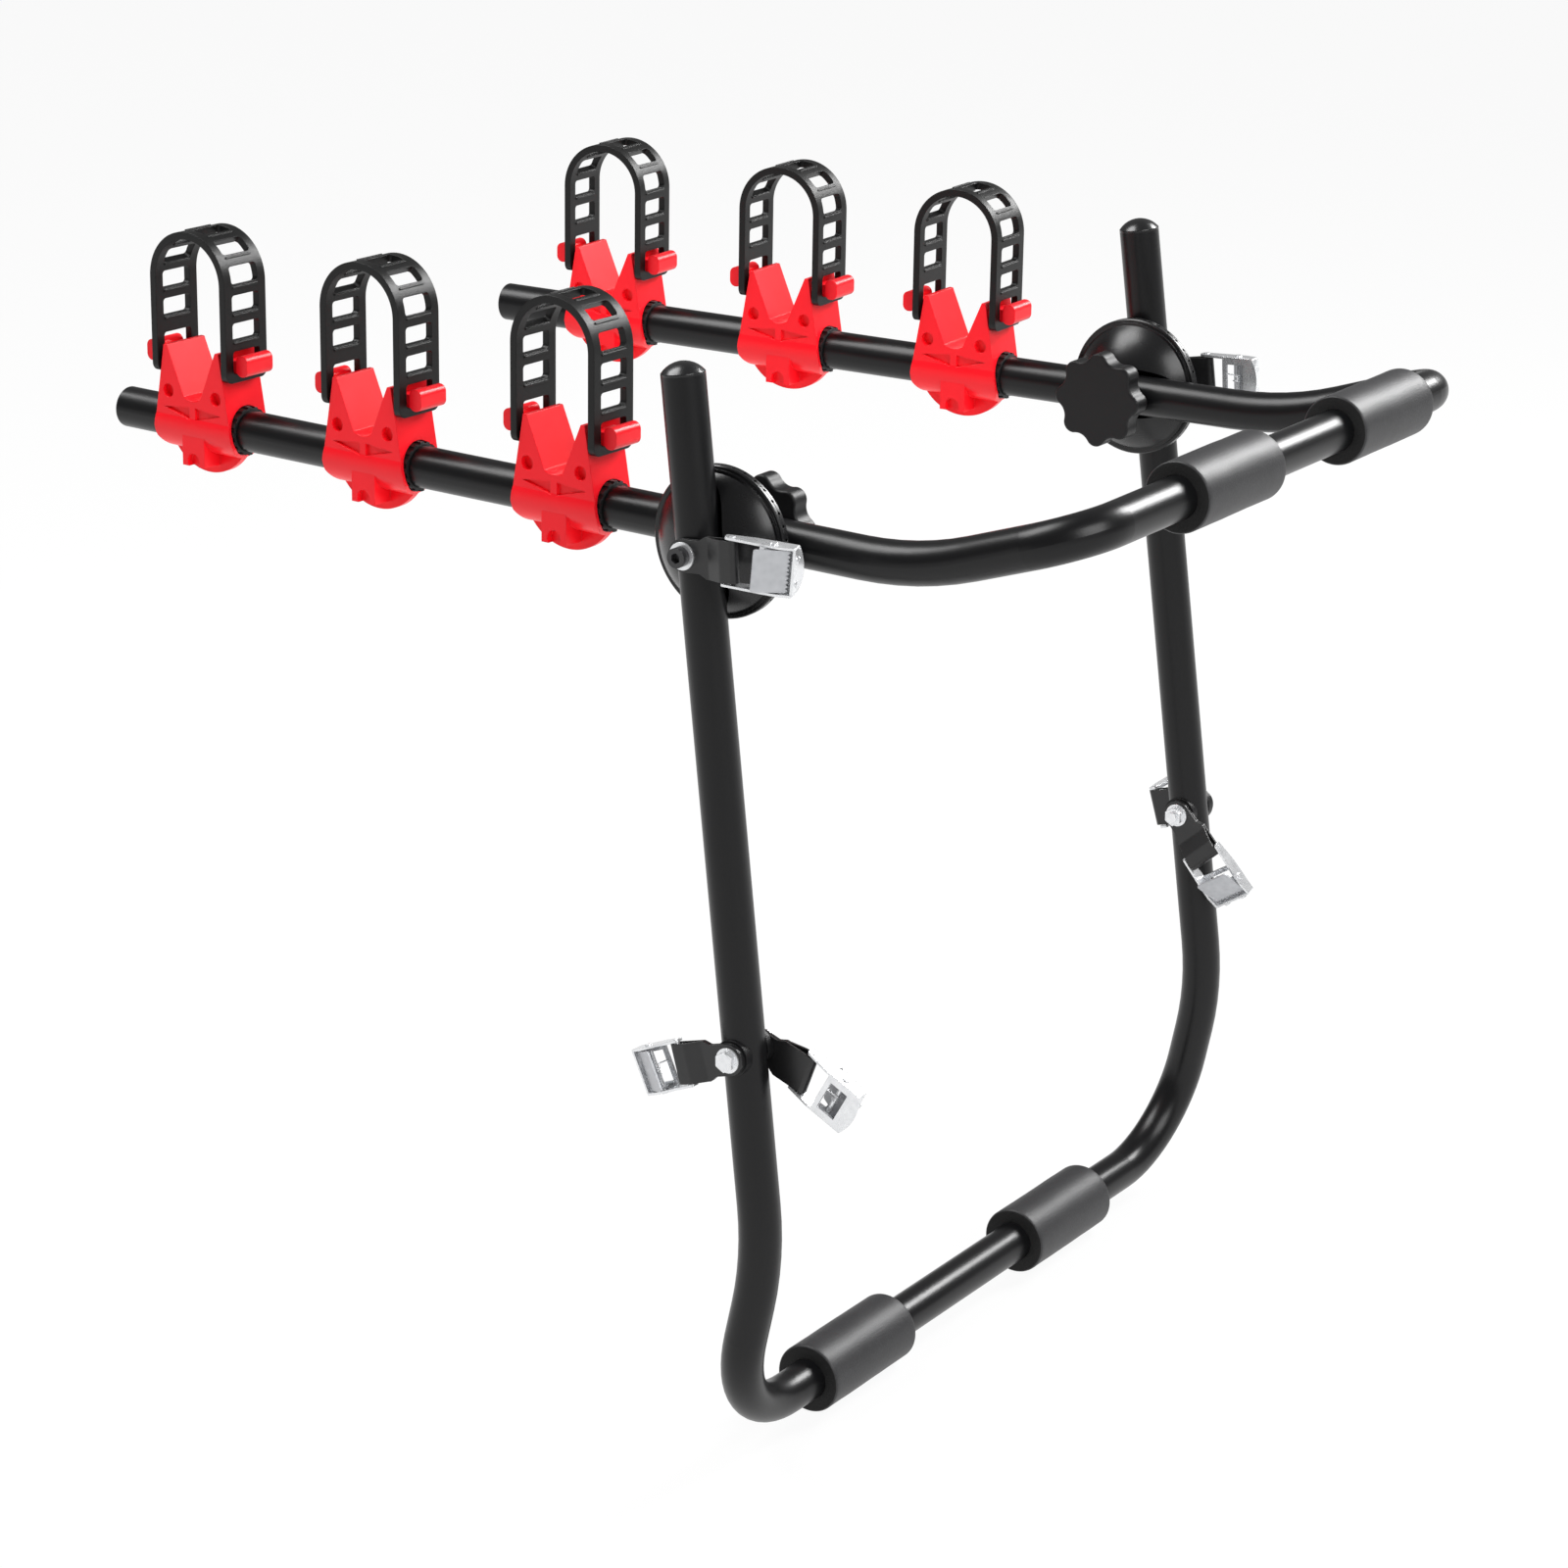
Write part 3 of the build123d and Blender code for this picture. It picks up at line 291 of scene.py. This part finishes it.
foams = {
    "foamSkin": {"dark": (0.014, 0.014, 0.015), "light": (0.040, 0.040, 0.042), "rough": 0.40,
                 "depth": 0.00012},
    "foamCut": {"dark": (0.002, 0.002, 0.002), "light": (0.007, 0.007, 0.007), "rough": 0.70,
                "depth": 0.0003},
}

# What the foam's skin and its cut ends share
foamCells = {
    "pores": 900,
    "cloud": {"scale": 35, "detail": 4, "rough": 0.6},
    "fine": {"scale": 1600, "detail": 3, "rough": 0.6},
    "poreShare": 0.55,
    "cloudShare": 0.35,
    "fineShare": 0.2,
    "fineRough": 0.12,
    "poreDepth": 0.6,
    "fineDepth": 0.4,
    "specular": 0.4,
}


def foamFinish(name, look):
    surface = Surface(name)
    pores = surface.cells(foamCells["pores"], "F1")
    cloud = surface.noise(**foamCells["cloud"])
    fine = surface.noise(**foamCells["fine"])
    shade = (pores * foamCells["poreShare"] + cloud * foamCells["cloudShare"]
             + fine * foamCells["fineShare"])
    height = pores * foamCells["poreDepth"] + fine * foamCells["fineDepth"]
    return surface.close(baseColor=surface.tint(shade, look["dark"], look["light"]),
                         roughness=fine * foamCells["fineRough"] + look["rough"],
                         specular=foamCells["specular"], normal=surface.bump(height, look["depth"]))


whiteFloor = {
    "dark": (0.86, 0.86, 0.86),
    "light": (0.88, 0.88, 0.88),
    "speck": {"scale": 3, "detail": 3, "rough": 0.5},
    "glow": 0.93,   # how much of the floor's look is plain white and takes no shadow
}


def plainFloor(name, look):
    # White to the eye and in reflections, with the object's shadow left in it
    surface = Surface(name)
    speck = surface.noise(**look["speck"])
    matte = surface.node("ShaderNodeBsdfDiffuse", None,
                         {"Color": surface.tint(speck, look["dark"], look["light"])})
    glow = surface.node("ShaderNodeEmission", None, {"Strength": 1.0})
    seen = (surface.node("ShaderNodeLightPath", output="Is Camera Ray")
            + surface.node("ShaderNodeLightPath", output="Is Glossy Ray"))
    seen = surface.node("ShaderNodeMath", {"operation": "MINIMUM"}, {0: seen, 1: 1.0})
    return surface.show(surface.node("ShaderNodeMixShader", None,
                                     {"Fac": seen * look["glow"], 1: matte, 2: glow}))


made = {name: paintFinish(name, look) for name, look in finishes.items()}
made["cradleRed"] = plasticFinish("cradleRed", cradlePlastic)
made.update({name: platingFinish(name, look) for name, look in platings.items()})
made.update({name: foamFinish(name, look) for name, look in foams.items()})
made["floor"] = plainFloor("floor", whiteFloor)

# The first start of a node's name that fits gives its finish
nodeFinishes = (
    ("upright_caps", "capBlack"), ("arm_end_plugs", "capBlack"), ("hub_bolts", "socketBlack"),
    ("hub_washers", "zinc"), ("lower_bolts", "zinc"), ("lower_nuts", "zinc"),
    ("saddle_washers", "knobBlack"), ("cradle_bushes", "bushBlack"), ("hub_shell", "hubBlack"),
    ("knob_nut", "zinc"), ("knob_", "knobBlack"), ("cradle_", "cradleRed"), ("strap_", "strapRubber"),
    ("bracket_", "bracketBlack"), ("cam_lever_", "leverZinc"), ("buckle_", "zinc"), ("", "frameBlack"),
)


def finishNode(name, piece):
    finish = next(finish for start, finish in nodeFinishes if name.startswith(start))
    piece.data.materials.clear()
    piece.data.materials.append(made[finish])


for name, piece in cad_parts.items():
    finishNode(name, piece)
print("stage: finishes made")


def pick(piece, mode, test):
    # Selects only the faces or edges that pass the test, in edit mode
    bpy.ops.object.mode_set(mode="EDIT")
    bpy.ops.mesh.select_mode(type=mode)
    bpy.ops.mesh.select_all(action="DESELECT")
    bpy.ops.object.mode_set(mode="OBJECT")
    parts = piece.data.polygons if mode == "FACE" else piece.data.edges
    for part in parts:
        part.select = test(part)
    bpy.ops.object.mode_set(mode="EDIT")


def finishPiece(piece, name, body):
    bpy.ops.object.mode_set(mode="OBJECT")
    piece.name = piece.data.name = name
    bpy.ops.object.transform_apply(location=True, rotation=True, scale=True)
    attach(piece, body)


sleeves = {
    "pieces": {
        "foamSleeveUpperRight": ("foam_pad_upper_right", "arm_frame"),
        "foamSleeveUpperLeft": ("foam_pad_upper_left", "arm_frame"),
        "foamSleeveLowerRight": ("foam_pad_lower_right", "lower_frame"),
        "foamSleeveLowerLeft": ("foam_pad_lower_left", "lower_frame"),
    },
    "bore": 0.0144,
    "roundness": 0.0016,
    "roundSteps": 4,
    "sides": 96,
    "rings": 28,
    "unevenness": 0.0005,
    "dentSize": 0.03,
    "smoothAngle": 40,
    "endFacing": 0.9,     # how squarely a face looks along the sleeve, to be an end
    "cutFacing": 0.95,    # and to have the cut foam's finish
    "rimRadius": 0.9,     # shares of the sleeve's radius that tell its outer rims
    "rimWidth": 0.01,
}


def edgeLength(piece, edge):
    first, second = (piece.data.vertices[corner].co for corner in edge.vertices)
    return (first - second).length


def isRim(piece, edge, middle, radius, look):
    # An edge round either end of the sleeve, on its outside
    first, second = (piece.data.vertices[corner].co - middle for corner in edge.vertices)
    nearest = min(Vector((0, spot.y, spot.z)).length for spot in (first, second))
    return nearest > radius * look["rimRadius"] and abs(first.x - second.x) < radius * look["rimWidth"]


def makeSleeve(name, node, body, look):
    low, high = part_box(node)
    radius, length = (high.z - low.z) / 2, high.x - low.x
    bpy.ops.object.select_all(action="DESELECT")
    bpy.ops.mesh.primitive_cylinder_add(vertices=look["sides"], radius=radius - look["unevenness"] / 2,
                                        depth=length, location=(low + high) / 2, rotation=(0, pi / 2, 0))
    sleeve = bpy.context.object
    bpy.ops.object.transform_apply(location=True, rotation=True, scale=True)
    pick(sleeve, "FACE", lambda face: abs(face.normal.x) > look["endFacing"])
    bpy.ops.mesh.inset(thickness=radius - look["bore"], use_individual=True)
    bpy.ops.mesh.bridge_edge_loops()
    pick(sleeve, "EDGE", lambda edge: isRim(sleeve, edge, (low + high) / 2, radius, look))
    bpy.ops.mesh.bevel(offset=look["roundness"], segments=look["roundSteps"], profile=0.5)
    pick(sleeve, "EDGE", lambda edge: edgeLength(sleeve, edge) > length / 2)
    bpy.ops.mesh.subdivide(number_cuts=look["rings"])
    bpy.ops.object.mode_set(mode="OBJECT")
    dents = bpy.data.textures.new(name + "Dents", "CLOUDS")
    dents.noise_scale = look["dentSize"]
    softness = sleeve.modifiers.new("dents", "DISPLACE")
    softness.texture = dents
    softness.texture_coords = "LOCAL"
    softness.strength = look["unevenness"]
    bpy.ops.object.modifier_apply(modifier="dents")
    bpy.ops.object.shade_smooth_by_angle(angle=radians(look["smoothAngle"]))
    sleeve.data.materials.append(made["foamSkin"])
    sleeve.data.materials.append(made["foamCut"])
    for face in sleeve.data.polygons:
        face.material_index = 1 if abs(face.normal.x) > look["cutFacing"] else 0
    finishPiece(sleeve, name, body)
    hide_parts(node)


for name, (node, body) in sleeves["pieces"].items():
    makeSleeve(name, node, body, sleeves)
print("stage: foam sleeves made")


studio = {
    "floorSize": 40,
    "floorDrop": 0.0005,
    "world": 0.20,
    "backdrop": 0.95,
    "lamps": {
        "overhead": {"place": (0.7, -1.7, 2.6), "size": (1.6, 1.8), "power": 90},
        "side": {"place": (1.2, 3.2, 2.2), "size": (2.4, 2.4), "power": 112},
        "back": {"place": (-2.4, 0.9, 1.7), "size": (1.0, 1.2), "power": 110},
    },
    "aim": (0, -0.1, -0.1),
}


def makeWorld(look):
    # Soft light on the object, and nearly white where the camera sees it past the floor
    world = bpy.data.worlds.new("studio")
    world.use_nodes = True
    tree = world.node_tree
    lighting = tree.nodes["Background"]
    seen = tree.nodes.new("ShaderNodeBackground")
    for shade, strength in ((lighting, look["world"]), (seen, look["backdrop"])):
        shade.inputs["Color"].default_value = (1, 1, 1, 1)
        shade.inputs["Strength"].default_value = strength
    rays = tree.nodes.new("ShaderNodeLightPath")
    mix = tree.nodes.new("ShaderNodeMixShader")
    tree.links.new(rays.outputs["Is Camera Ray"], mix.inputs["Fac"])
    tree.links.new(lighting.outputs[0], mix.inputs[1])
    tree.links.new(seen.outputs[0], mix.inputs[2])
    tree.links.new(mix.outputs[0], tree.nodes["World Output"].inputs["Surface"])
    return world


def makeStudio(look):
    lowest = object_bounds()[0].z
    bpy.ops.object.select_all(action="DESELECT")
    bpy.ops.mesh.primitive_plane_add(size=look["floorSize"], location=(0, 0, lowest - look["floorDrop"]))
    floor = bpy.context.object
    floor.name = "floor"
    floor.data.materials.append(made["floor"])
    floor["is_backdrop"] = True
    for name, lamp in look["lamps"].items():
        light = bpy.data.lights.new(name, "AREA")
        light.shape, light.energy = "RECTANGLE", lamp["power"]
        light.size, light.size_y = lamp["size"]
        holder = bpy.data.objects.new(name, light)
        holder.location = lamp["place"]
        aim = Vector(look["aim"]) - Vector(lamp["place"])
        holder.rotation_euler = aim.to_track_quat("-Z", "Y").to_euler()
        bpy.context.scene.collection.objects.link(holder)
    bpy.context.scene.world = makeWorld(look)
    bpy.context.scene.view_settings.view_transform = "Standard"


makeStudio(studio)
print("stage: studio set")
